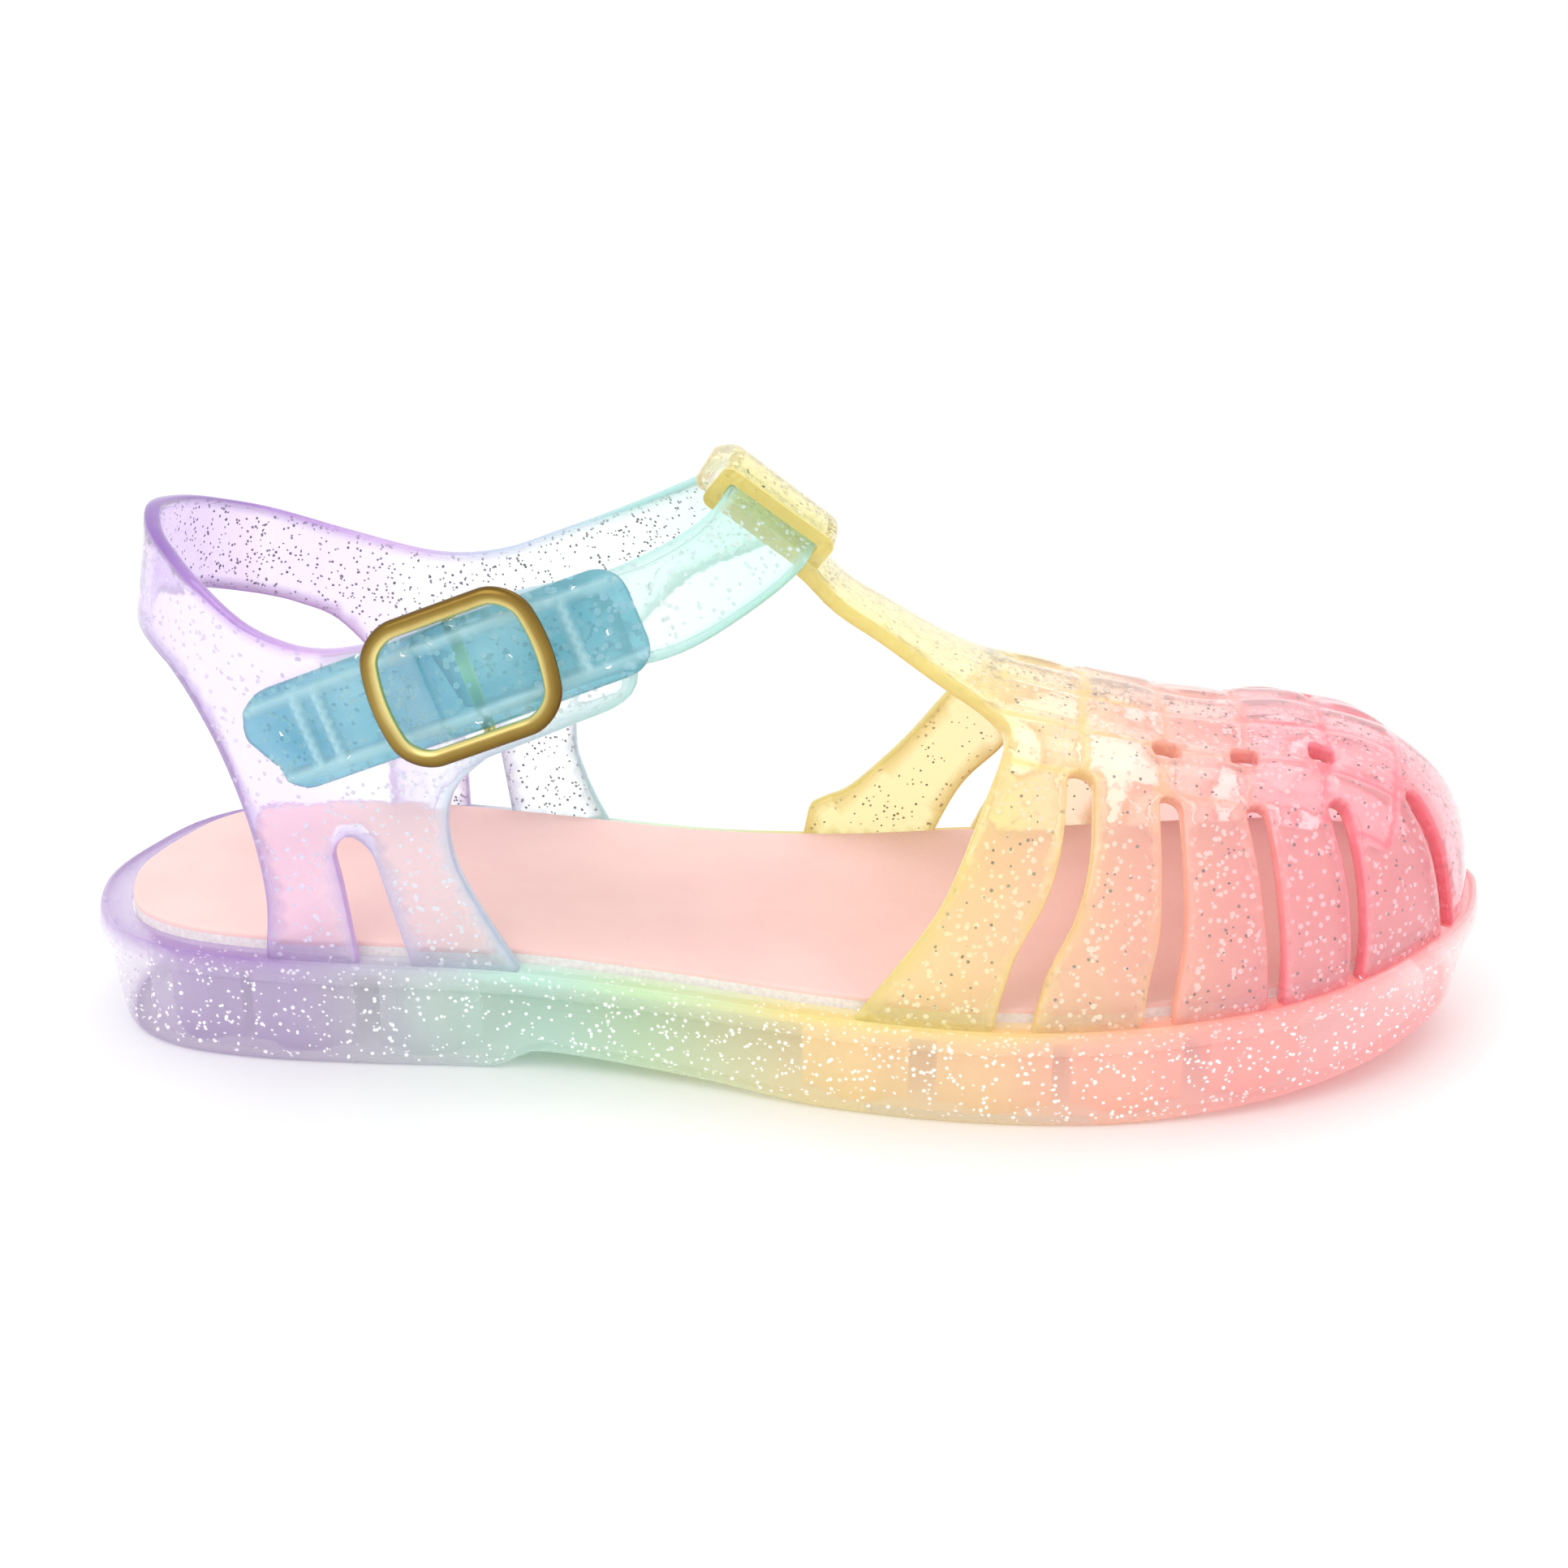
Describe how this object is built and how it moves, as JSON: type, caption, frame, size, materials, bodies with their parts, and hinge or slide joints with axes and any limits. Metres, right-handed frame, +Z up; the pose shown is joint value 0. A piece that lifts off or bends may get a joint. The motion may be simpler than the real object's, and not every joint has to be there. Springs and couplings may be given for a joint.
{
  "type": "jelly sandal",
  "caption": "Child's moulded jelly sandal, right foot: clear rainbow sole and woven toe cage, T-bar, ankle strap and buckle, open heel and sides.",
  "frame": {"origin": "on the floor, below the middle of the sandal's box in plan", "axes": "+X to the toe, +Y to the inner side of this right foot, +Z up; the buckle is on -Y"},
  "size_m": [0.19, 0.0708, 0.08],
  "materials": {
    "clear_sole": "clear glossy soft plastic with glitter, shaded from purple at the heel through mint, green and yellow to coral at the toe",
    "clear_coral": "clear glossy soft plastic with glitter, yellow at the T-bar to coral pink at the toe",
    "clear_lilac": "clear glossy soft plastic with glitter, lilac at the heel to pale mint at the ankle strap",
    "insole_pink": "matt salmon-pink foam sheet",
    "strap_teal": "teal soft plastic with glitter",
    "buckle_gold": "antique gold plated metal"
  },
  "bodies": {
    "root": {"outsole": "clear_sole", "insole": "insole_pink", "toe_cage": "clear_coral", "rear_upper": "clear_lilac", "buckle_strap": "strap_teal", "buckle": "buckle_gold"}
  },
  "joints": []
}
